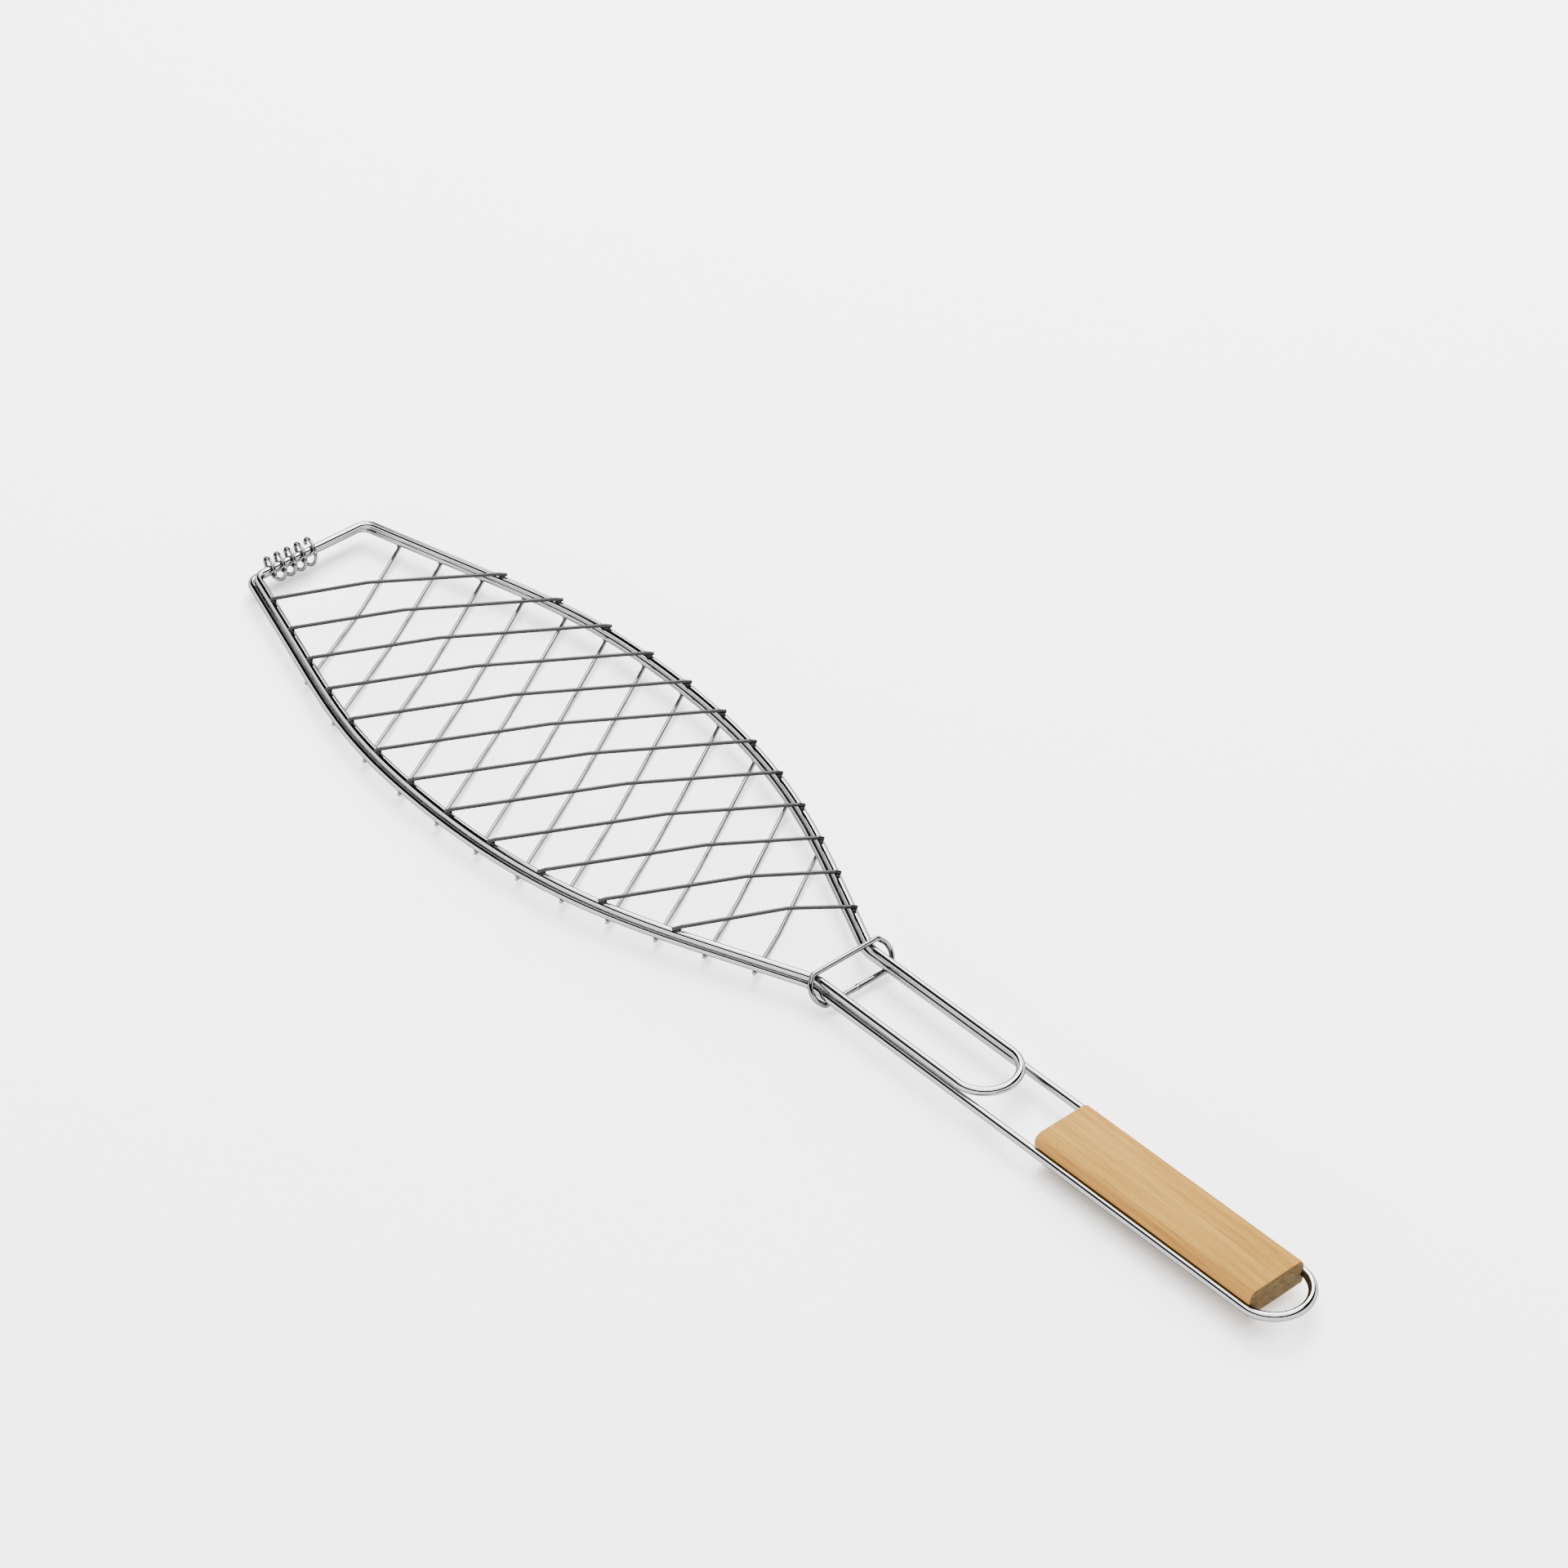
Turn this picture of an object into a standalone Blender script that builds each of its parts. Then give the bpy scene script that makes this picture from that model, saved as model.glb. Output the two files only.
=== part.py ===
"""Grill basket: two hinged wire grids on a long loop, a sliding clasp ring and a wooden grip.

Metres, +Z up, +X from the hinge to the hanging loop. The basket lies flat and closed.
"""

import math

import bmesh
import bpy
import numpy as np
from mathutils import Matrix, Vector

# ---- driving dimensions (metres) -------------------------------------------------------
FRAME_R = 0.0020          # radius of the thick frame wire
CROSS_R = 0.0009          # radius of the thin cross wires
RING_R = 0.00125          # radius of the clasp ring's wire
COIL_R = 0.0009           # radius of the hinge coil's wire
TOUCH = 0.0003            # clearance left between two wires that lie on each other

# Half the width of the lid's frame, to its centre line, from the hinge bar to the neck.
FLANK_X = (0.000, 0.060, 0.120, 0.180, 0.240, 0.300, 0.345, 0.382)
FLANK_Y = (0.0319, 0.0489, 0.0640, 0.0688, 0.0648, 0.0497, 0.0313, 0.0150)
HEAD_BEND = 0.0060        # bend radius at the two hinge corners
NECK_BEND = 0.0160        # bend radius where the flanks meet the rails
BASE_EXTRA = 0.0010       # the bottom frame is this much wider on each side
LID_LAG = 0.0038          # the lid sits this much nearer the tail
LID_SIDE = 0.0005         # and this much to the far side
LID_END = 0.4724          # centre of the lid's closing bend
LOOP_END = 0.6379         # centre of the hanging loop's bend
FRAME_CUTS = (0.125, 0.330)   # X of the planes where each frame is parted into its spans
SPANS = ("head", "near", "tail", "far")
TAIL_DRIFT = 0.0190       # past the necks, sideways travel for each metre of X
TAIL_RISE = 0.0125        # and climb

WIRES = 12                # cross wires in each grid
WIRE_PITCH = 0.0273
WIRE_SLANT = 0.585        # X travelled for each metre of Y
TOP_FIRST = 0.0490        # where the first top wire crosses the middle line
BOTTOM_FIRST = 0.0434     # where the first bottom wire crosses it
ELBOW_IN = 0.0015         # the wires bend down this far inside the frame's centre line
TIP_OUT = 0.0017          # and end this far outside it
ELBOW_RISE = 0.0009       # height of the elbow over the cut ends, which lie on the frame
KINK_RISE = 0.0042        # height of the middle kink over them

COIL_TURNS = 4.5
COIL_PITCH = 0.0058
COIL_START = -0.0236      # Y of the coil's first end
RING_X = 0.3858           # X of the ring's top bar
RING_PLAY = 0.0002        # how far the ring's straight bars reach past the rails' outer sides
RING_BULGE = 0.0040       # how far the ring's rounded ends swell past the bars
RING_BEND = 0.0022        # corner radius of the ring
RING_SWELL_BENDS = (0.006, 0.007, 0.006)   # corner radii of each swelling end
RING_LEAN = 0.0085        # how much nearer the tail the ring's bottom bar is
RING_SIDE = 0.0010        # how far the ring sits to the far side

GRIP_LENGTH = 0.1220
GRIP_PAST = 0.0026        # how far the grip's end is past the centre of the hanging loop's bend
GRIP_INSET = 0.0008       # how far the grip's sides are inside the rails' centre lines
GRIP_OVER = 0.0082        # wood above the rails' centre line
GRIP_UNDER = 0.0050       # and below it
GRIP_ROUND = 0.0038       # radius of its two upper long edges
GRIP_LOW_ROUND = 0.0010   # and of its two lower ones
GROOVE_CLEAR = 0.0005     # play between a rail and its groove in the grip

# ---- derived ---------------------------------------------------------------------------
STACK = 2 * FRAME_R + TOUCH                    # between the two frames' centre lines
TIP_UP = FRAME_R + CROSS_R                     # the cut ends over the frame's centre line
ELBOW_UP = TIP_UP + ELBOW_RISE
KINK_UP = TIP_UP + KINK_RISE
BASE_Z = KINK_UP + CROSS_R                     # the bottom kinks stand on the ground
LID_Z = BASE_Z + STACK
MID_Z = (BASE_Z + LID_Z) / 2
RAIL_HALF = FLANK_Y[-1]
BASE_RAIL = RAIL_HALF + BASE_EXTRA
RING_TOP_HALF = BASE_RAIL + FRAME_R + RING_PLAY   # half length of the ring's straight bars
GRIP_HALF = BASE_RAIL - GRIP_INSET
GRIP_START = LOOP_END + GRIP_PAST - GRIP_LENGTH
FRAME_SIDES = 12
WIRE_SIDES = 8


def clear_scene():
    for item in list(bpy.data.objects):
        bpy.data.objects.remove(item, do_unlink=True)


def material(name, colour, metallic, roughness):
    made = bpy.data.materials.new(name)
    made.use_nodes = True
    shader = made.node_tree.nodes["Principled BSDF"]
    shader.inputs["Base Color"].default_value = (*colour, 1.0)
    shader.inputs["Metallic"].default_value = metallic
    shader.inputs["Roughness"].default_value = roughness
    return made


def chrome(name):
    return material(name + "_chrome", (0.72, 0.73, 0.75), 1.0, 0.12)


# ---- pieces ----------------------------------------------------------------------------
def pivot(name, location, parent=None):
    """An empty that carries the pieces which move together."""
    item = bpy.data.objects.new(name, None)
    item.empty_display_size = 0.02
    item.location = location
    item.parent = parent
    bpy.context.scene.collection.objects.link(item)
    return item


def carry(item, parent, offset):
    """Hangs the item on an empty without moving it. offset: where the empty stands."""
    item.parent = parent
    item.matrix_parent_inverse = Matrix.Translation(offset).inverted()
    bpy.context.scene.collection.objects.link(item)
    return item


def wire(name, path, radius, sides, closed, parent, offset=(0, 0, 0)):
    """A round wire along the path, as a bevelled curve. sides: a multiple of two, at least 6."""
    curve = bpy.data.curves.new(name, "CURVE")
    curve.dimensions = "3D"
    curve.resolution_u = 1
    curve.bevel_depth = radius
    curve.bevel_resolution = (sides - 4) // 2
    curve.use_fill_caps = True
    spline = curve.splines.new("POLY")
    spline.points.add(len(path) - 1)
    for point, place in zip(spline.points, path):
        point.co = (*place, 1.0)
    spline.use_cyclic_u = closed
    curve.materials.append(chrome(name))
    return carry(bpy.data.objects.new(name, curve), parent, offset)


def rounded(corners, radii, steps):
    """A closed outline through the corners, each turned into an arc of its radius."""
    outline = []
    count = len(corners)
    for i, (corner, radius) in enumerate(zip(corners, radii)):
        corner = Vector(corner)
        back = (Vector(corners[i - 1]) - corner).normalized()
        ahead = (Vector(corners[(i + 1) % count]) - corner).normalized()
        half = back.angle(ahead) / 2
        if radius == 0 or math.pi / 2 - half < 0.01:
            outline.append(tuple(corner))
            continue
        centre = corner + (back + ahead).normalized() * radius / math.sin(half)
        start = corner + back * radius / math.tan(half) - centre
        end = corner + ahead * radius / math.tan(half) - centre
        whole = start.angle(end)
        for k in range(steps + 1):
            share = k / steps
            way = (start * math.sin((1 - share) * whole) + end * math.sin(share * whole)) / math.sin(whole)
            outline.append(tuple(centre + way))
    return outline


def trail(x, y, z):
    """The point, moved by the slight bend that the handle takes past the necks."""
    past = max(x - FLANK_X[-1], 0.0)
    return x, y + TAIL_DRIFT * past, z + TAIL_RISE * past


# ---- the two frames --------------------------------------------------------------------
def flank_spline():
    """The second derivatives of the smooth curve through the flank's points."""
    x, y = np.array(FLANK_X), np.array(FLANK_Y)
    count = len(x)
    gap = np.diff(x)
    system = np.eye(count)
    right = np.zeros(count)
    for i in range(1, count - 1):
        system[i, i - 1:i + 2] = gap[i - 1], 2 * (gap[i - 1] + gap[i]), gap[i]
        right[i] = 6 * ((y[i + 1] - y[i]) / gap[i] - (y[i] - y[i - 1]) / gap[i - 1])
    return np.linalg.solve(system, right)


CURVE = flank_spline()


def half_width(x, extra):
    """Half the width of a frame at x from its hinge bar, to the centre line."""
    x = min(max(x, FLANK_X[0]), FLANK_X[-1])
    i = min(int(np.searchsorted(FLANK_X, x, side="right")) - 1, len(FLANK_X) - 2)
    gap = FLANK_X[i + 1] - FLANK_X[i]
    u, v = (FLANK_X[i + 1] - x) / gap, (x - FLANK_X[i]) / gap
    bow = (u ** 3 - u) * CURVE[i] + (v ** 3 - v) * CURVE[i + 1]
    return u * FLANK_Y[i] + v * FLANK_Y[i + 1] + bow * gap ** 2 / 6 + extra


def frame_outline(extra, end_x):
    """One closed loop: hinge bar, near flank, near rail, end bend and back on the far side."""
    steps = 26
    near, radii = [], []
    for k in range(steps + 1):
        x = FLANK_X[-1] * k / steps
        near.append((x, -half_width(x, extra)))
        radii.append(HEAD_BEND if k == 0 else NECK_BEND if k == steps else 0)
    side = rounded([(0, FLANK_Y[0])] + near + [(end_x, -RAIL_HALF - extra)], [0] + radii + [0], 5)[1:-1]
    rail = RAIL_HALF + extra
    bend = [(end_x + rail * math.cos(t), rail * math.sin(t))
            for t in np.linspace(-math.pi / 2, math.pi / 2, 15)]
    return side + bend + [(x, -y) for x, y in reversed(side)]


def parted(path):
    """The closed path as four open runs, with a small gap wherever it passes a cut plane."""
    runs, run = [], []
    for start, end in zip(path, path[1:] + path[:1]):
        start, end = Vector(start), Vector(end)
        run.append(start)
        for cut in FRAME_CUTS:
            if (start.x - cut) * (end.x - cut) < 0:
                at = start.lerp(end, (cut - start.x) / (end.x - start.x))
                step = (end - start).normalized() * TOUCH / 2
                runs.append(run + [at - step])
                run = [at + step]
    runs[0] = run + runs[0]
    return runs


def frame(name, extra, end_x, shift, parent, offset):
    """A whole frame in four spans. shift: where the middle of its hinge bar is."""
    path = [trail(x + shift[0], y + shift[1], shift[2]) for x, y in frame_outline(extra, end_x)]
    for span, run in zip(SPANS, parted(path)):
        wire(f"{name}_{span}", run, FRAME_R, FRAME_SIDES, False, parent, offset)


# ---- the cross wires -------------------------------------------------------------------
def wire_end(first, slant, side, extra, shift_x, shift_y, reach):
    """The point of a slanting wire that lies reach outside the frame's centre line."""
    y = 0.0
    for _ in range(30):
        x = first + slant * y
        y = shift_y + side * (half_width(x - shift_x, extra) + reach)
    return first + slant * y, y


def cross_wire(name, first, slant, extra, shift, up, parent, offset):
    """One wire: cut end, elbow, raised middle, elbow, cut end."""
    ends = [wire_end(first, slant, side, extra, shift[0], shift[1], reach)
            for side, reach in ((-1, TIP_OUT), (-1, -ELBOW_IN), (1, -ELBOW_IN), (1, TIP_OUT))]
    corners = (ends[0], ends[1], (first + slant * shift[1], shift[1]), ends[2], ends[3])
    rises = (TIP_UP, ELBOW_UP, KINK_UP, ELBOW_UP, TIP_UP)
    path = [(x, y, shift[2] + up * rise) for (x, y), rise in zip(corners, rises)]
    wire(name, path, CROSS_R, WIRE_SIDES, False, parent, offset)


def grid(prefix, first, slant, extra, shift, up, parent, offset):
    """All the cross wires of one grid. up: 1 on top of the frame, -1 beneath it."""
    for k in range(WIRES):
        cross_wire(f"{prefix}_{k + 1:02d}", first + k * WIRE_PITCH, slant, extra, shift, up,
                   parent, offset)


# ---- hinge coil, clasp ring and grip ---------------------------------------------------
def hinge_coil(parent):
    """A loose coil round both hinge bars."""
    apart = math.hypot(LID_LAG, STACK)
    radius = apart / 2 + FRAME_R + TOUCH + COIL_R
    steps = 18
    path = []
    for k in range(int(COIL_TURNS * steps) + 1):
        turn = 2 * math.pi * k / steps
        path.append((LID_LAG / 2 + radius * math.cos(turn), COIL_START + COIL_PITCH * k / steps,
                     MID_Z + radius * math.sin(turn)))
    wire("hinge_coil", path, COIL_R, WIRE_SIDES, False, parent)


def ring_half_height():
    """From the mid plane up to the ring's top bar."""
    return STACK / 2 + FRAME_R + TOUCH + RING_R


def clasp_ring(parent, offset):
    """A closed wire ring round all four rails, leaning back with its rounded ends swelling out."""
    rise = ring_half_height()
    tall = math.hypot(rise, RING_LEAN / 2)
    swell = [(RING_TOP_HALF + RING_BULGE * (1 - share ** 2), tall * share)
             for share in (0.5, 0.0, -0.5)]
    right = [(RING_TOP_HALF, tall)] + swell + [(RING_TOP_HALF, -tall)]
    corners = right + [(-y, v) for y, v in reversed(right)]
    radii = [RING_BEND, *RING_SWELL_BENDS, RING_BEND] * 2
    flat = rounded(corners, radii, 4)
    lean, up = RING_LEAN / 2 / tall, rise / tall
    middle = trail(RING_X + RING_LEAN / 2, RING_SIDE, MID_Z)
    path = [(middle[0] - v * lean, middle[1] + y, middle[2] + v * up) for y, v in flat]
    wire("clasp_ring", path, RING_R, 10, True, parent, offset)


def grip_profile():
    """Half the grip's section as (y, z) from the rails' height: top middle round to the bottom."""
    groove = FRAME_R + GROOVE_CLEAR
    top, bottom = GRIP_OVER, -GRIP_UNDER
    quarter = np.linspace(0, math.pi / 2, 4)
    points = [(GRIP_HALF - GRIP_ROUND * (1 - math.sin(t)), top - GRIP_ROUND * (1 - math.cos(t)))
              for t in quarter]
    mouth = math.asin(min(1, (BASE_RAIL - GRIP_HALF) / groove)) if BASE_RAIL > GRIP_HALF else 0.0
    for t in np.linspace(math.pi / 2 + mouth, 3 * math.pi / 2 - mouth, 9):
        points.append((BASE_RAIL + groove * math.cos(t), groove * math.sin(t)))
    low = GRIP_LOW_ROUND
    points += [(GRIP_HALF - low * (1 - math.cos(t)), bottom + low * (1 - math.sin(t))) for t in quarter]
    return points


def grip(parent):
    """A long block with rounded edges and a groove down each side for the two lower rails."""
    half = grip_profile()
    section = half + [(-y, z) for y, z in reversed(half)]
    form = bmesh.new()
    end = form.faces.new([form.verts.new(trail(GRIP_START, y, BASE_Z + z)) for y, z in section])
    pushed = bmesh.ops.extrude_face_region(form, geom=[end], use_keep_orig=True)["geom"]
    moved = [part for part in pushed if isinstance(part, bmesh.types.BMVert)]
    along = Vector((1, TAIL_DRIFT, TAIL_RISE)) * GRIP_LENGTH
    bmesh.ops.translate(form, verts=moved, vec=along)
    bmesh.ops.recalc_face_normals(form, faces=form.faces)
    mesh = bpy.data.meshes.new("handle_grip")
    form.to_mesh(mesh)
    form.free()
    mesh.materials.append(material("handle_grip_wood", (0.66, 0.46, 0.26), 0.0, 0.55))
    mesh.shade_smooth()
    mesh.set_sharp_from_angle(angle=math.radians(25))
    carry(bpy.data.objects.new("handle_grip", mesh), parent, (0, 0, 0))


# ---- assembly --------------------------------------------------------------------------
def centre_on_origin(root):
    """Stands the basket on the ground with the middle of its box over the origin."""
    bpy.context.view_layer.update()
    graph = bpy.context.evaluated_depsgraph_get()
    corners = []
    for item in bpy.context.scene.objects:
        if item.type in ("MESH", "CURVE"):
            mesh = item.evaluated_get(graph).to_mesh()
            corners += [item.matrix_world @ v.co for v in mesh.vertices]
    spread = np.array(corners)
    low, high = spread.min(axis=0), spread.max(axis=0)
    root.location = (-(low[0] + high[0]) / 2, -(low[1] + high[1]) / 2, -low[2])
    bpy.context.view_layer.update()


def build():
    clear_scene()
    base_at, lid_at = (0, 0, BASE_Z), (LID_LAG, LID_SIDE, LID_Z)
    ring_at = (RING_X, RING_SIDE, MID_Z)
    root = pivot("basket", (0, 0, 0))
    lid = pivot("lid_hinge_axis", lid_at, root)
    slider = pivot("clasp_slide_axis", ring_at, root)
    frame("lower_frame", BASE_EXTRA, LOOP_END, base_at, root, (0, 0, 0))
    frame("upper_frame", 0.0, LID_END - LID_LAG, lid_at, lid, lid_at)
    grid("upper_wire", TOP_FIRST, WIRE_SLANT, 0.0, lid_at, 1, lid, lid_at)
    grid("lower_wire", BOTTOM_FIRST, -WIRE_SLANT, BASE_EXTRA, base_at, -1, root, (0, 0, 0))
    hinge_coil(root)
    clasp_ring(slider, ring_at)
    grip(root)
    centre_on_origin(root)


build()
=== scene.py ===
"""Grill basket: chrome wires, coil hinge, clasp ring and wooden grip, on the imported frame."""

import math

import bpy
import numpy as np
from mathutils import Matrix, Vector

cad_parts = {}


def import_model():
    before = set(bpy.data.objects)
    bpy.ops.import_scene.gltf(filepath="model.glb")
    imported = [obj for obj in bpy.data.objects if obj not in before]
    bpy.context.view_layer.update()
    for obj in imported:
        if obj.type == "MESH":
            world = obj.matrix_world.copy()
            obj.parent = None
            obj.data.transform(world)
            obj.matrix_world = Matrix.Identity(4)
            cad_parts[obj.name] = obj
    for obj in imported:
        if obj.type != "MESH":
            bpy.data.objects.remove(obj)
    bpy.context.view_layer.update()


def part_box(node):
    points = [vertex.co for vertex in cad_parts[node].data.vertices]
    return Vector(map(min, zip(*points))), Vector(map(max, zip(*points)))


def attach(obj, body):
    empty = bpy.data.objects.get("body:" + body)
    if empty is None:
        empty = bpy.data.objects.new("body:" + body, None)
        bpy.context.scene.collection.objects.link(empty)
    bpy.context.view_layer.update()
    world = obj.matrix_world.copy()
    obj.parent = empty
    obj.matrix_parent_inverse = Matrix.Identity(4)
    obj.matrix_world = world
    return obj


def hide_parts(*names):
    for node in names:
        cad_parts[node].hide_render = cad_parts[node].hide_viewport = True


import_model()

# ---- dimensions, the same as in the CAD (metres) ---------------------------------------
FRAME_R, CROSS_R, RING_R, COIL_R = 0.0020, 0.0009, 0.00125, 0.0009
TOUCH = 0.0003
FLANK_X = (0.000, 0.060, 0.120, 0.180, 0.240, 0.300, 0.345, 0.382)
FLANK_Y = (0.0319, 0.0489, 0.0640, 0.0688, 0.0648, 0.0497, 0.0313, 0.0150)
HEAD_BEND, NECK_BEND = 0.0060, 0.0160
BASE_EXTRA, LID_LAG, LID_SIDE = 0.0010, 0.0038, 0.0005
LID_END, LOOP_END = 0.4724, 0.6379
TAIL_DRIFT, TAIL_RISE = 0.0190, 0.0125
WIRES, WIRE_PITCH, WIRE_SLANT = 12, 0.0273, 0.585
TOP_FIRST, BOTTOM_FIRST = 0.0490, 0.0434
ELBOW_IN, TIP_OUT = 0.0015, 0.0017
ELBOW_RISE, KINK_RISE = 0.0009, 0.0042
COIL_TURNS, COIL_PITCH, COIL_START = 4.5, 0.0058, -0.0236
RING_X, RING_PLAY, RING_BULGE, RING_BEND = 0.3858, 0.0002, 0.0040, 0.0022
RING_LEAN, RING_SIDE = 0.0085, 0.0010
RING_SWELL_BENDS = (0.006, 0.007, 0.006)
GRIP_LENGTH, GRIP_PAST, GRIP_INSET = 0.1220, 0.0026, 0.0008
GRIP_OVER, GRIP_UNDER = 0.0082, 0.0050
GRIP_ROUND, GRIP_LOW_ROUND, GROOVE_CLEAR = 0.0038, 0.0010, 0.0005
STACK = 2 * FRAME_R + TOUCH
TIP_UP = FRAME_R + CROSS_R
ELBOW_UP = TIP_UP + ELBOW_RISE
KINK_UP = TIP_UP + KINK_RISE
BASE_Z = KINK_UP + CROSS_R
LID_Z = BASE_Z + STACK
MID_Z = (BASE_Z + LID_Z) / 2
RAIL_HALF = FLANK_Y[-1]
BASE_RAIL = RAIL_HALF + BASE_EXTRA
RING_TOP_HALF = BASE_RAIL + FRAME_R + RING_PLAY
GRIP_HALF = BASE_RAIL - GRIP_INSET
GRIP_START = LOOP_END + GRIP_PAST - GRIP_LENGTH

# ---- finish of the wires and the wood --------------------------------------------------
FRAME_SIDES, CROSS_SIDES, RING_SIDES, COIL_SIDES = 28, 14, 20, 16
FLANK_STEPS = 78          # points along each flank
NECK_TRIM = 0.008         # flank points this near the neck give way to its bend
ELBOW_BEND, KINK_BEND = 0.004, 0.012
CHAMFER = 0.00022         # on the cut ends of the cross wires
WELD = (0.0016, 0.0013, 0.00075)          # half lengths of the weld at each crossing
RING_BEAD = (0.0016, 0.0024, 0.0014)      # and of the bead where the ring is joined
SOFT = 0.0010             # bevel round the grip's two ends

# The middle of the lower hinge bar, read from the CAD box of the lower frame.
LOW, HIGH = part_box("lower_frame_head")
SHIFT = Vector((LOW[0] + FRAME_R, (LOW[1] + HIGH[1]) / 2, 0.0))


def trail(x, y, z):
    """The point, moved by the slight bend that the handle takes past the necks."""
    past = max(x - FLANK_X[-1], 0.0)
    return x, y + TAIL_DRIFT * past, z + TAIL_RISE * past


# ---- materials -------------------------------------------------------------------------
class Nodes:
    """Short names for building a material's node tree."""

    def __init__(self, name):
        self.material = bpy.data.materials.new(name)
        self.material.use_nodes = True
        self.tree = self.material.node_tree
        self.shader = self.tree.nodes["Principled BSDF"]

    def add(self, kind, **settings):
        node = self.tree.nodes.new(kind)
        for key, value in settings.items():
            if hasattr(node, key):
                setattr(node, key, value)
            else:
                node.inputs[key.replace("_", " ")].default_value = value
        return node

    def link(self, out, into):
        self.tree.links.new(out, into)

    def coords(self, scale=(1, 1, 1)):
        place = self.add("ShaderNodeTexCoord")
        mapping = self.add("ShaderNodeMapping")
        mapping.inputs["Scale"].default_value = scale
        self.link(place.outputs["Object"], mapping.inputs["Vector"])
        return mapping.outputs["Vector"]

    def noise(self, vector, scale, detail=4.0, roughness=0.55, distortion=0.0):
        node = self.add("ShaderNodeTexNoise")
        for key, value in (("Scale", scale), ("Detail", detail), ("Roughness", roughness),
                           ("Distortion", distortion)):
            node.inputs[key].default_value = value
        self.link(vector, node.inputs["Vector"])
        return node.outputs["Fac"]

    def ramp(self, fac, stops):
        node = self.add("ShaderNodeValToRGB")
        ramp = node.color_ramp
        while len(ramp.elements) < len(stops):
            ramp.elements.new(0.5)
        for element, (place, colour) in zip(ramp.elements, stops):
            element.position = place
            element.color = (*colour, 1.0)
        self.link(fac, node.inputs["Fac"])
        return node.outputs["Color"]

    def span(self, fac, low, high):
        node = self.add("ShaderNodeMapRange")
        node.inputs["To Min"].default_value = low
        node.inputs["To Max"].default_value = high
        self.link(fac, node.inputs["Value"])
        return node.outputs["Result"]

    def mix(self, fac, one, two, blend="MIX"):
        node = self.add("ShaderNodeMix", data_type="RGBA", blend_type=blend)
        for value, socket in ((fac, node.inputs[0]), (one, node.inputs[6]), (two, node.inputs[7])):
            if isinstance(value, (float, int)):
                socket.default_value = value
            elif isinstance(value, tuple):
                socket.default_value = (*value, 1.0)
            else:
                self.link(value, socket)
        return node.outputs[2]

    def bump(self, height, strength, distance):
        node = self.add("ShaderNodeBump")
        node.inputs["Strength"].default_value = strength
        node.inputs["Distance"].default_value = distance
        self.link(height, node.inputs["Height"])
        self.link(node.outputs["Normal"], self.shader.inputs["Normal"])


def grey(value):
    return (value, value, value)


def chrome_material(name, tone, rough, wave):
    """Bright plating: a clean mirror with faint drawing marks and a few duller patches, its edges darkened
    by painted shade.
    """
    n = Nodes(name)
    n.shader.inputs["Metallic"].default_value = 1.0
    # The dark Specular Tint is painted shade: it darkens the grazing edges of every wire, which real
    # plating keeps bright.
    n.shader.inputs["Specular Tint"].default_value = (0.15, 0.15, 0.15, 1.0)
    at = n.coords()
    cloud = n.noise(at, 55.0, 3.0)
    fine = n.noise(at, 900.0, 2.0)
    n.link(n.ramp(cloud, [(0.30, tuple(c * 0.90 for c in tone)), (0.70, tone)]),
           n.shader.inputs["Base Color"])
    n.link(n.span(cloud, rough * 0.6, rough * 1.5), n.shader.inputs["Roughness"])
    n.bump(fine, wave, 0.00002)
    return n.material


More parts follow.
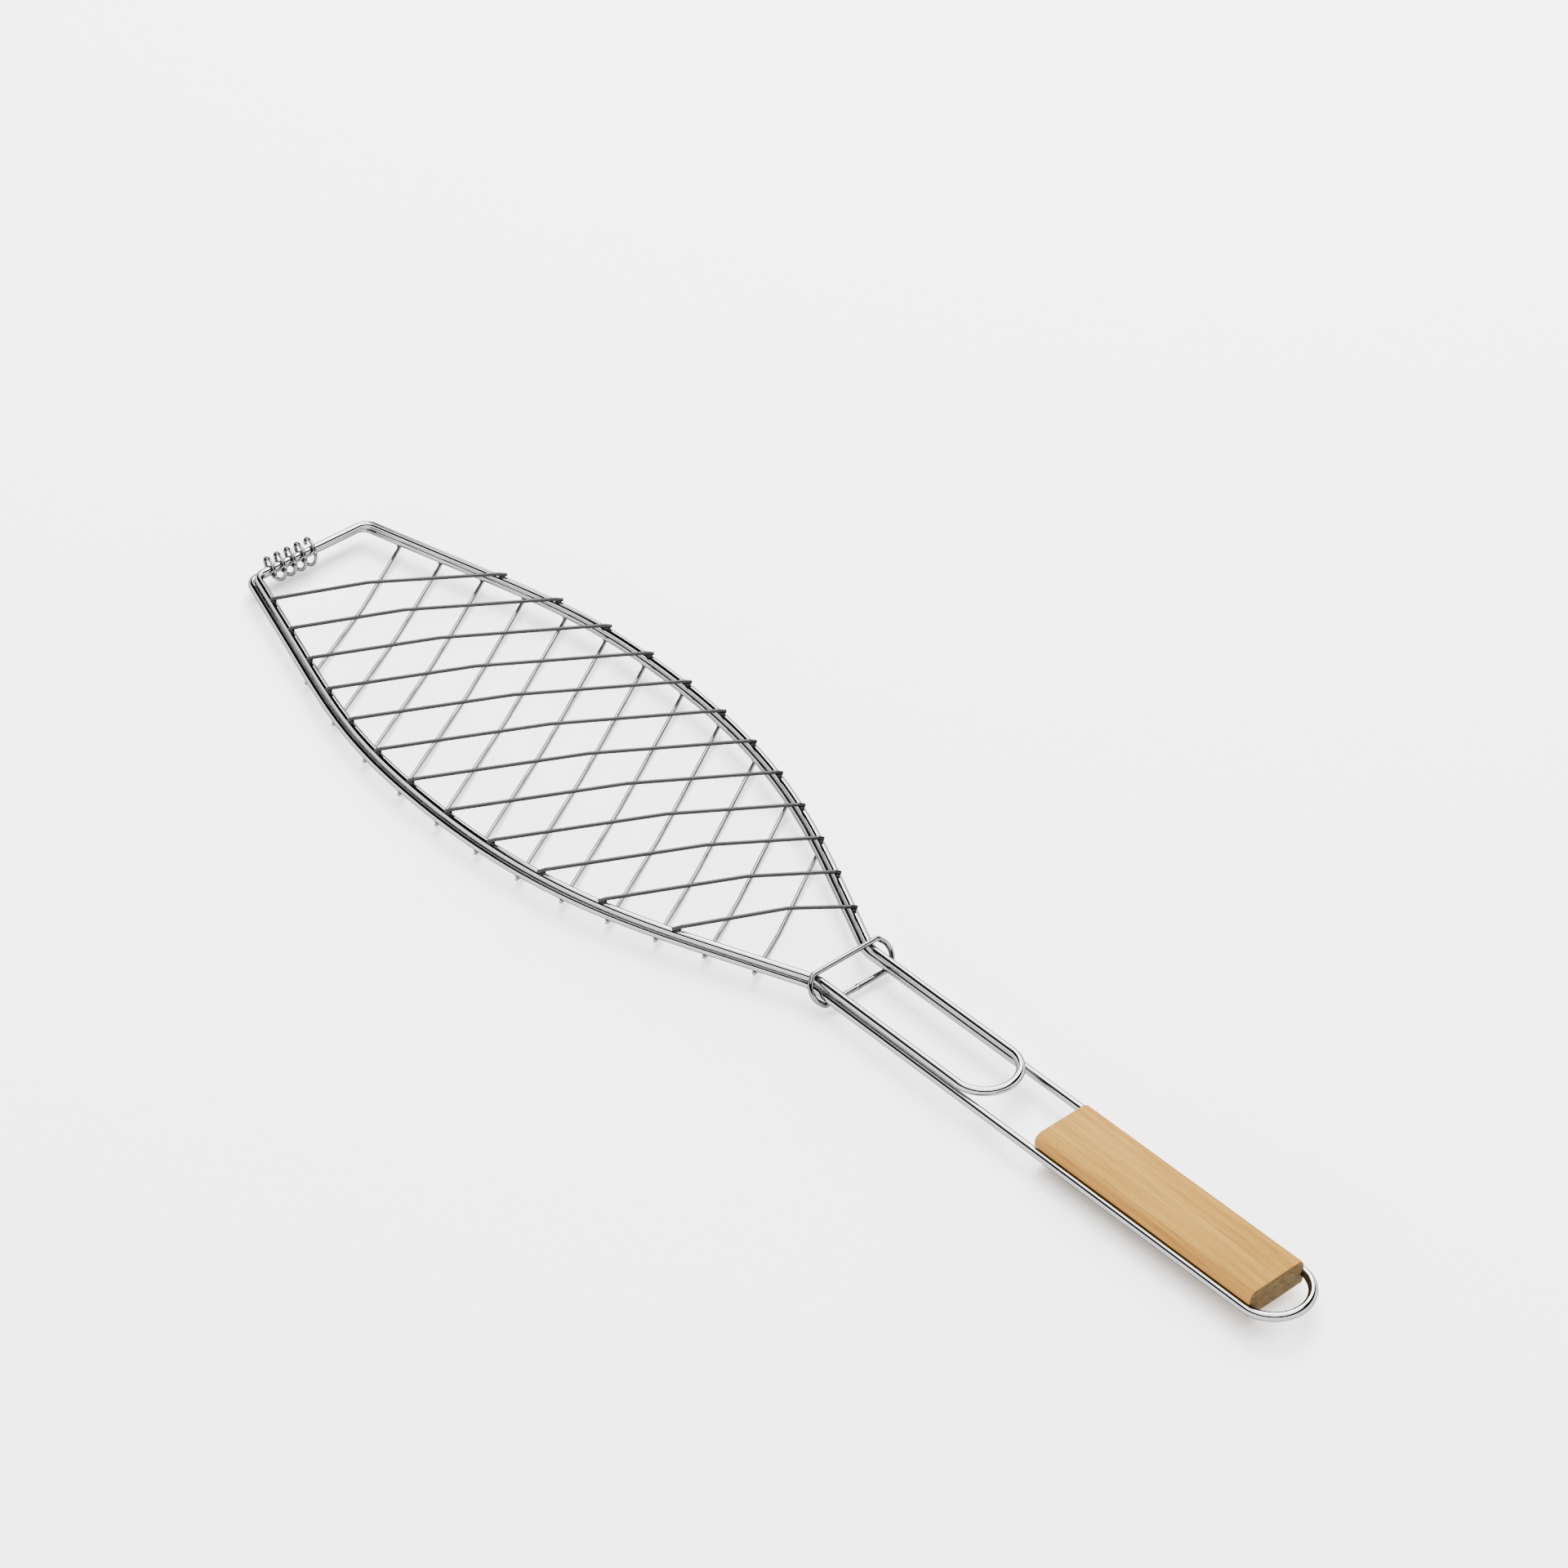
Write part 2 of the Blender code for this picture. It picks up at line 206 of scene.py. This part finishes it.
def wood_material():
    """Pale planed wood: long fine grain, short dark pores and darker end grain, with painted shade: sides
    a darker, warmer copy of the top's colour and a darker band along the rounded edges and grooves.
    """
    n = Nodes("grip_wood")
    grain = n.noise(n.coords((5.0, 150.0, 150.0)), 2.2, 6.0, 0.60, 0.35)
    pores = n.noise(n.coords((26.0, 1000.0, 1000.0)), 1.6, 2.0, 0.5)
    broad = n.noise(n.coords((3.0, 38.0, 38.0)), 1.3, 3.0, 0.5)
    # The top and the sides get their own copies of the wood colour; the sides' darker, warmer copy is
    # painted shade.
    top = n.ramp(grain, [(0.30, (0.195, 0.098, 0.0150)), (0.50, (0.262, 0.143, 0.0240)),
                         (0.72, (0.320, 0.190, 0.0390))])
    side = n.ramp(grain, [(0.30, (0.200, 0.090, 0.0170)), (0.50, (0.252, 0.123, 0.0250)),
                          (0.72, (0.310, 0.163, 0.0370))])
    rings = n.noise(n.coords((20.0, 260.0, 520.0)), 1.4, 3.0, 0.6)
    end = n.ramp(rings, [(0.30, (0.046, 0.030, 0.0110)), (0.70, (0.105, 0.069, 0.0260))])
    facing = n.add("ShaderNodeSeparateXYZ")
    n.link(n.add("ShaderNodeTexCoord").outputs["Normal"], facing.inputs["Vector"])
    edges = []
    for axis in ("X", "Y"):
        size = n.add("ShaderNodeMath", operation="ABSOLUTE")
        n.link(facing.outputs[axis], size.inputs[0])
        edges.append(size.outputs["Value"])
    # Faces turned sideways take the darker side copy: painted shade.
    colour = n.mix(n.ramp(edges[1], [(0.30, grey(0.0)), (0.50, grey(1.0))]), top, side)
    # Painted shade: a band a fifth darker where the surface turns from top to side, along the rounded
    # edges and in the rail grooves.
    corner = n.ramp(edges[1], [(0.26, grey(1.0)), (0.38, grey(0.80)), (0.50, grey(1.0))])
    colour = n.mix(1.0, colour, corner, "MULTIPLY")
    colour = n.mix(n.ramp(edges[0], [(0.55, grey(0.0)), (0.85, grey(1.0))]), colour, end)
    warm = n.ramp(broad, [(0.35, (0.93, 0.88, 0.84)), (0.65, (1.0, 1.0, 1.0))])
    colour = n.mix(1.0, colour, warm, "MULTIPLY")
    fleck = n.ramp(pores, [(0.30, grey(0.62)), (0.42, grey(1.0))])
    colour = n.mix(0.7, colour, fleck, "MULTIPLY")
    n.link(colour, n.shader.inputs["Base Color"])
    n.link(n.span(grain, 0.75, 0.60), n.shader.inputs["Roughness"])
    n.shader.inputs["Specular IOR Level"].default_value = 0.06
    n.bump(grain, 0.22, 0.0003)
    return n.material


# Each group of wires has the tone that it shows in this light, darker than real plating.
CHROME = {
    "frame_wire": chrome_material("frame_chrome", (0.270, 0.273, 0.276), 0.05, 0.20),
    "upper_wire": chrome_material("upper_chrome", (0.030, 0.031, 0.032), 0.10, 0.20),
    "lower_wire": chrome_material("lower_chrome", (0.150, 0.152, 0.154), 0.10, 0.20),
    "coil_wire": chrome_material("coil_chrome", (0.150, 0.152, 0.154), 0.10, 0.25),
    "clasp_wire": chrome_material("clasp_chrome", (0.135, 0.137, 0.139), 0.08, 0.20),
}


# ---- pieces ----------------------------------------------------------------------------
def add_piece(name, points, faces, material, body, nodes):
    mesh = bpy.data.meshes.new(name)
    mesh.from_pydata([tuple(p) for p in points], [], faces)
    mesh.materials.append(material)
    mesh.update()
    mesh.shade_smooth()
    mesh.set_sharp_from_angle(angle=math.radians(38))
    piece = bpy.data.objects.new(name, mesh)
    bpy.context.scene.collection.objects.link(piece)
    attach(piece, body)
    if nodes:
        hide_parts(*nodes)
    return piece


def sweep(path, radii, sides, side_way, closed):
    """The points and faces of a round wire along a path, with mitred bends."""
    path = np.asarray(path, float)
    count = len(path)
    radii = np.broadcast_to(np.asarray(radii, float), (count,))
    if closed:
        after = np.roll(path, -1, axis=0) - path
    else:
        after = np.vstack([path[1:] - path[:-1], path[-1:] - path[-2:-1]])
    after = after / np.linalg.norm(after, axis=1)[:, None]
    before = np.roll(after, 1, axis=0)
    if not closed:
        before[0] = after[0]
        after[-1] = before[-1]
    ahead = before + after
    wide = np.linalg.norm(ahead, axis=1) / 2
    ahead = ahead / (2 * wide[:, None])
    across = np.broadcast_to(np.asarray(side_way, float), path.shape)
    across = across - (across * ahead).sum(1)[:, None] * ahead
    across = across / np.linalg.norm(across, axis=1)[:, None]
    bend = np.cross(ahead, across)
    points, faces = [], []
    for i in range(count):
        for k in range(sides):
            turn = 2 * math.pi * (k + 0.5) / sides
            points.append(path[i] + radii[i] * (math.cos(turn) * across[i]
                                                + math.sin(turn) / wide[i] * bend[i]))
    for i in range(count if closed else count - 1):
        a, b = i * sides, ((i + 1) % count) * sides
        faces += [(a + (k + 1) % sides, a + k, b + k, b + (k + 1) % sides) for k in range(sides)]
    if not closed:
        faces.append(tuple(range(sides)))
        faces.append(tuple((count - 1) * sides + k for k in range(sides))[::-1])
    return points, faces


def join(*parts):
    """Several (points, faces) as one."""
    points, faces = [], []
    for more_points, more_faces in parts:
        start = len(points)
        points += list(more_points)
        faces += [tuple(k + start for k in face) for face in more_faces]
    return points, faces


def blob(centre, size, axes, rings=6, around=10):
    """An egg-shaped bead. size: half lengths along the three axes."""
    axes = [np.asarray(axis, float) for axis in axes]
    centre = np.asarray(centre, float)
    points = [centre + size[2] * axes[2]]
    for i in range(1, rings):
        tilt = math.pi * i / rings
        for k in range(around):
            turn = 2 * math.pi * k / around
            points.append(centre + size[0] * math.sin(tilt) * math.cos(turn) * axes[0]
                          + size[1] * math.sin(tilt) * math.sin(turn) * axes[1]
                          + size[2] * math.cos(tilt) * axes[2])
    points.append(centre - size[2] * axes[2])
    faces = [(0, 1 + k, 1 + (k + 1) % around) for k in range(around)]
    for i in range(rings - 2):
        a, b = 1 + i * around, 1 + (i + 1) * around
        faces += [(a + k, b + k, b + (k + 1) % around, a + (k + 1) % around) for k in range(around)]
    last = len(points) - 1
    a = 1 + (rings - 2) * around
    faces += [(a + (k + 1) % around, a + k, last) for k in range(around)]
    return points, faces


def rounded(corners, radii, steps, closed=True):
    """An outline through the corners, each turned into an arc of its radius."""
    outline = []
    count = len(corners)
    for i, (corner, radius) in enumerate(zip(corners, radii)):
        corner = Vector(corner)
        if radius == 0 or (not closed and i in (0, count - 1)):
            outline.append(tuple(corner))
            continue
        back = (Vector(corners[i - 1]) - corner).normalized()
        ahead = (Vector(corners[(i + 1) % count]) - corner).normalized()
        half = back.angle(ahead) / 2
        if math.pi / 2 - half < 0.01:
            outline.append(tuple(corner))
            continue
        centre = corner + (back + ahead).normalized() * radius / math.sin(half)
        start = corner + back * radius / math.tan(half) - centre
        end = corner + ahead * radius / math.tan(half) - centre
        whole = start.angle(end)
        for k in range(steps + 1):
            share = k / steps
            way = (start * math.sin((1 - share) * whole) + end * math.sin(share * whole)) / math.sin(whole)
            outline.append(tuple(centre + way))
    return outline


# ---- frames ----------------------------------------------------------------------------
def flank_spline():
    x, y = np.array(FLANK_X), np.array(FLANK_Y)
    count = len(x)
    gap = np.diff(x)
    system = np.eye(count)
    right = np.zeros(count)
    for i in range(1, count - 1):
        system[i, i - 1:i + 2] = gap[i - 1], 2 * (gap[i - 1] + gap[i]), gap[i]
        right[i] = 6 * ((y[i + 1] - y[i]) / gap[i] - (y[i] - y[i - 1]) / gap[i - 1])
    return np.linalg.solve(system, right)


CURVE = flank_spline()


def half_width(x, extra):
    """Half the width of a frame at x from its hinge bar, to the centre line."""
    x = min(max(x, FLANK_X[0]), FLANK_X[-1])
    i = min(int(np.searchsorted(FLANK_X, x, side="right")) - 1, len(FLANK_X) - 2)
    gap = FLANK_X[i + 1] - FLANK_X[i]
    u, v = (FLANK_X[i + 1] - x) / gap, (x - FLANK_X[i]) / gap
    bow = (u ** 3 - u) * CURVE[i] + (v ** 3 - v) * CURVE[i + 1]
    return u * FLANK_Y[i] + v * FLANK_Y[i + 1] + bow * gap ** 2 / 6 + extra


def frame_outline(extra, end_x):
    steps = FLANK_STEPS
    near, radii = [], []
    for k in range(steps + 1):
        x = FLANK_X[-1] * k / steps
        near.append((x, -half_width(x, extra)))
        radii.append(HEAD_BEND if k == 0 else 0)
    # The neck's bend replaces the last few points of the flank.
    keep = [p for p in near[:-1] if p[0] < FLANK_X[-1] - NECK_TRIM] + [near[-1]]
    radii = [HEAD_BEND] + [0] * (len(keep) - 2) + [NECK_BEND]
    side = rounded([(0, FLANK_Y[0])] + keep + [(end_x, -RAIL_HALF - extra)], [0] + radii + [0], 12)[1:-1]
    rail = RAIL_HALF + extra
    bend = [(end_x + rail * math.cos(t), rail * math.sin(t))
            for t in np.linspace(-math.pi / 2, math.pi / 2, 41)]
    return side + bend + [(x, -y) for x, y in reversed(side)]


def frame_piece(node, extra, end_x, at, body):
    path = [SHIFT + Vector(trail(x + at[0], y + at[1], at[2])) for x, y in frame_outline(extra, end_x)]
    points, faces = sweep(path, FRAME_R, FRAME_SIDES, (0, 0, 1), True)
    add_piece(node + "_wire", points, faces, CHROME["frame_wire"], body,
              [f"{node}_{span}" for span in ("head", "near", "tail", "far")])


# ---- cross wires -----------------------------------------------------------------------
def wire_end(first, slant, side, extra, at, reach):
    y = 0.0
    for _ in range(30):
        x = first + slant * y
        y = at[1] + side * (half_width(x - at[0], extra) + reach)
    return first + slant * y, y


def cross_piece(node, first, slant, extra, at, up, body):
    """One wire with rounded bends, chamfered cut ends and a weld at each crossing."""
    ends = [wire_end(first, slant, side, extra, at, reach)
            for side, reach in ((-1, TIP_OUT), (-1, -ELBOW_IN), (1, -ELBOW_IN), (1, TIP_OUT))]
    corners = (ends[0], ends[1], (first + slant * at[1], at[1]), ends[2], ends[3])
    rises = (TIP_UP, ELBOW_UP, KINK_UP, ELBOW_UP, TIP_UP)
    corners = [tuple(SHIFT + Vector((x, y, at[2] + up * rise))) for (x, y), rise in zip(corners, rises)]
    path = rounded(corners, (0, ELBOW_BEND, KINK_BEND, ELBOW_BEND, 0), 6, closed=False)
    path = [Vector(p) for p in path]
    head = (path[1] - path[0]).normalized()
    tail = (path[-2] - path[-1]).normalized()
    path = [path[0], path[0] + head * CHAMFER] + path[1:-1] + [path[-1] + tail * CHAMFER, path[-1]]
    radii = [CROSS_R - CHAMFER] + [CROSS_R] * (len(path) - 2) + [CROSS_R - CHAMFER]
    along = Vector((slant, 1, 0)).normalized()
    parts = [sweep(path, radii, CROSS_SIDES, along.cross(Vector((0, 0, 1))), False)]
    for side in (-1, 1):
        x, y = wire_end(first, slant, side, extra, at, 0.0)
        spot = SHIFT + Vector((x, y, at[2] + up * (FRAME_R + TOUCH / 2)))
        parts.append(blob(spot, WELD,
                          (along, along.cross(Vector((0, 0, 1))), (0, 0, 1))))
    points, faces = join(*parts)
    add_piece(node + "_rod", points, faces, CHROME[node[:10]], body, [node])


# ---- coil, ring and grip ---------------------------------------------------------------
def coil_piece():
    """Four and a half loose turns round both hinge bars."""
    radius = math.hypot(LID_LAG, STACK) / 2 + FRAME_R + TOUCH + COIL_R
    steps = 40
    path, ways = [], []
    for k in range(int(COIL_TURNS * steps) + 1):
        turn = 2 * math.pi * k / steps
        way = np.array((math.cos(turn), 0, math.sin(turn)))
        path.append(np.array(SHIFT) + (LID_LAG / 2, COIL_START + COIL_PITCH * k / steps, MID_Z)
                    + radius * way)
        ways.append(way)
    points, faces = sweep(path, COIL_R, COIL_SIDES, ways, False)
    add_piece("hinge_coil_wire", points, faces, CHROME["coil_wire"], "base", ["hinge_coil"])


def ring_piece():
    rise = STACK / 2 + FRAME_R + TOUCH + RING_R
    tall = math.hypot(rise, RING_LEAN / 2)
    swell = [(RING_TOP_HALF + RING_BULGE * (1 - share ** 2), tall * share)
             for share in (0.5, 0.0, -0.5)]
    right = [(RING_TOP_HALF, tall)] + swell + [(RING_TOP_HALF, -tall)]
    corners = right + [(-y, v) for y, v in reversed(right)]
    flat = rounded(corners, [RING_BEND, *RING_SWELL_BENDS, RING_BEND] * 2, 8)
    lean, up = RING_LEAN / 2 / tall, rise / tall
    middle = SHIFT + Vector(trail(RING_X + RING_LEAN / 2, RING_SIDE, MID_Z))
    path = [middle + Vector((-v * lean, y, v * up)) for y, v in flat]
    bead = middle + Vector((RING_LEAN / 2, 0.0, -rise))
    points, faces = join(sweep(path, RING_R, RING_SIDES, (up, 0, lean), True),
                         blob(bead, RING_BEAD, ((1, 0, 0), (0, 1, 0), (0, 0, 1)), 8, 16))
    add_piece("clasp_ring_wire", points, faces, CHROME["clasp_wire"], "clasp", ["clasp_ring"])


def grip_profile():
    """The grip's section as (y, z) from the rails' height, with rounded edges and side grooves."""
    groove = FRAME_R + GROOVE_CLEAR
    low = GRIP_LOW_ROUND
    quarter = np.linspace(0, math.pi / 2, 10)
    upper = [(GRIP_HALF - GRIP_ROUND * (1 - math.sin(t)), GRIP_OVER - GRIP_ROUND * (1 - math.cos(t)))
             for t in quarter]
    lower = [(GRIP_HALF - low * (1 - math.cos(t)), -GRIP_UNDER + low * (1 - math.sin(t)))
             for t in quarter]
    mouth = math.asin(min(1, (BASE_RAIL - GRIP_HALF) / groove)) if BASE_RAIL > GRIP_HALF else 0.0
    bowl = [(BASE_RAIL + groove * math.cos(t), groove * math.sin(t))
            for t in np.linspace(math.pi / 2 + mouth, 3 * math.pi / 2 - mouth, 17)]
    right = upper + bowl + lower
    return right + [(-y, z) for y, z in reversed(right)]


def grip_piece():
    """The wooden block, its ends softened by a narrow bevel."""
    section = grip_profile()
    count = len(section)
    middle = (GRIP_OVER - GRIP_UNDER) / 2
    tall = (GRIP_OVER + GRIP_UNDER) / 2
    points, faces = [], []
    stations = ((0.0, SOFT), (0.3 * SOFT, 0.3 * SOFT), (SOFT, 0.0), (GRIP_LENGTH - SOFT, 0.0),
                (GRIP_LENGTH - 0.3 * SOFT, 0.3 * SOFT), (GRIP_LENGTH, SOFT))
    for x, inset in stations:
        for y, z in section:
            y *= 1 - inset / GRIP_HALF
            z = middle + (z - middle) * (1 - inset / tall)
            points.append(SHIFT + Vector(trail(GRIP_START + x, y, BASE_Z + z)))
    for i in range(len(stations) - 1):
        a, b = i * count, (i + 1) * count
        faces += [(a + k, b + k, b + (k + 1) % count, a + (k + 1) % count) for k in range(count)]
    faces.append(tuple(range(count)))
    faces.append(tuple((len(stations) - 1) * count + k for k in range(count))[::-1])
    add_piece("handle_grip_block", points, faces, wood_material(), "base", ["handle_grip"])


frame_piece("lower_frame", BASE_EXTRA, LOOP_END, (0, 0, BASE_Z), "base")
frame_piece("upper_frame", 0.0, LID_END - LID_LAG, (LID_LAG, LID_SIDE, LID_Z), "lid")
for k in range(WIRES):
    cross_piece(f"upper_wire_{k + 1:02d}", TOP_FIRST + k * WIRE_PITCH, WIRE_SLANT, 0.0,
                (LID_LAG, LID_SIDE, LID_Z), 1, "lid")
    cross_piece(f"lower_wire_{k + 1:02d}", BOTTOM_FIRST + k * WIRE_PITCH, -WIRE_SLANT, BASE_EXTRA,
                (0, 0, BASE_Z), -1, "base")
coil_piece()
ring_piece()
grip_piece()


# ---- floor, light and camera -----------------------------------------------------------
def floor():
    mesh = bpy.data.meshes.new("floor")
    mesh.from_pydata([(-6, -6, 0), (6, -6, 0), (6, 6, 0), (-6, 6, 0)], [], [(0, 1, 2, 3)])
    n = Nodes("floor")
    n.shader.inputs["Base Color"].default_value = (0.93, 0.93, 0.93, 1)
    n.shader.inputs["Roughness"].default_value = 0.9
    mesh.materials.append(n.material)
    item = bpy.data.objects.new("floor", mesh)
    bpy.context.scene.collection.objects.link(item)


def area(name, at, towards, size, power):
    light = bpy.data.lights.new(name, "AREA")
    light.shape = "RECTANGLE"
    light.size, light.size_y = size
    light.energy = power
    item = bpy.data.objects.new(name, light)
    item.location = at
    item.rotation_euler = (Vector(towards) - Vector(at)).to_track_quat("-Z", "Y").to_euler()
    bpy.context.scene.collection.objects.link(item)


# How bright the room is at each height above the horizon. The dark belt is as high as the
# camera, and draws the dark line along the middle of every level wire in its view.
WALL_STOPS = [(0.00, 0.002), (0.05, 0.002), (0.09, 0.8), (0.34, 0.8), (0.40, 0.002), (0.82, 0.002),
              (0.87, 1.0), (1.0, 1.0)]
WORLD_STRENGTH = 9.0


def world():
    """A white room with a dark belt round its walls, for the wires to mirror."""
    made = bpy.data.worlds.new("studio")
    bpy.context.scene.world = made
    made.use_nodes = True
    tree = made.node_tree
    back = tree.nodes["Background"]
    place = tree.nodes.new("ShaderNodeTexCoord")
    split = tree.nodes.new("ShaderNodeSeparateXYZ")
    tree.links.new(place.outputs["Generated"], split.inputs["Vector"])
    node = tree.nodes.new("ShaderNodeValToRGB")
    while len(node.color_ramp.elements) < len(WALL_STOPS):
        node.color_ramp.elements.new(0.5)
    for element, (position, value) in zip(node.color_ramp.elements, WALL_STOPS):
        element.position = position
        element.color = (*grey(value), 1)
    tree.links.new(split.outputs["Z"], node.inputs["Fac"])
    tree.links.new(node.outputs["Color"], back.inputs["Color"])
    back.inputs["Strength"].default_value = WORLD_STRENGTH


CAMERA_AT = (1.18805, -0.98875, 1.36732)
LOOK_AT = (-0.04758, 0.05910, 0.0110)
CAMERA_ROLL = math.radians(-0.129)
CAMERA_LENS = 109.46


def camera():
    data = bpy.data.cameras.new("camera")
    data.lens = CAMERA_LENS
    data.sensor_width = 36.0
    data.clip_start, data.clip_end = 0.05, 50.0
    item = bpy.data.objects.new("camera", data)
    item.location = CAMERA_AT
    aim = (Vector(LOOK_AT) - Vector(CAMERA_AT)).to_track_quat("-Z", "Y").to_matrix()
    item.rotation_euler = (aim @ Matrix.Rotation(CAMERA_ROLL, 3, "Z")).to_euler()
    bpy.context.scene.collection.objects.link(item)
    bpy.context.scene.camera = item


floor()
world()
area("key", (-0.9, 1.2, 1.8), (0, 0, 0), (1.6, 1.6), 160)
camera()
